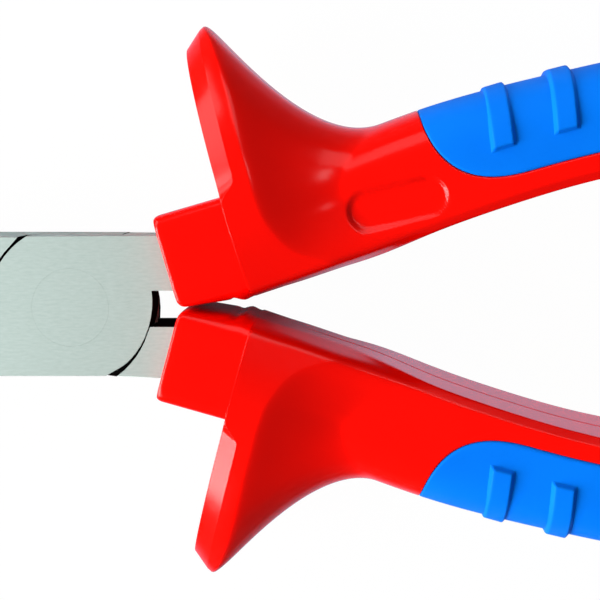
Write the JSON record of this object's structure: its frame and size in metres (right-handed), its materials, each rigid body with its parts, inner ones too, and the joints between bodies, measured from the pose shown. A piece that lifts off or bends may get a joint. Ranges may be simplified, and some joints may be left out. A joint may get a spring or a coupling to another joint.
{
  "type": "long nose pliers",
  "caption": "Insulated long nose pliers with a riveted lap joint, tapered serrated jaws, side cutter, and guarded two-colour handles with ribbed soft inserts.",
  "frame": {"origin": "on the pivot axis, at the joint's ground back face", "axes": "+X from the pivot towards the handles, +Y towards the upper handle, +Z along the pivot axis out of the joint's front face"},
  "size_m": [0.1986, 0.0682, 0.026],
  "materials": {
    "steel": "fine ground satin",
    "sleeve_red": "gloss",
    "insert_blue": "matte"
  },
  "bodies": {
    "back_body": {"back_half": "steel", "pivot_rivet": "steel", "lower_grip_sleeve": "sleeve_red", "lower_grip_insert": "insert_blue"},
    "front_body": {"front_half": "steel", "upper_grip_sleeve": "sleeve_red", "upper_grip_insert": "insert_blue"}
  },
  "joints": [
    {"name": "pivot_hinge", "type": "hinge", "parent": "back_body", "child": "front_body", "pos_m": [0, 0, 0], "axis": [0, 0, 1], "range_deg": [0, 45]}
  ]
}
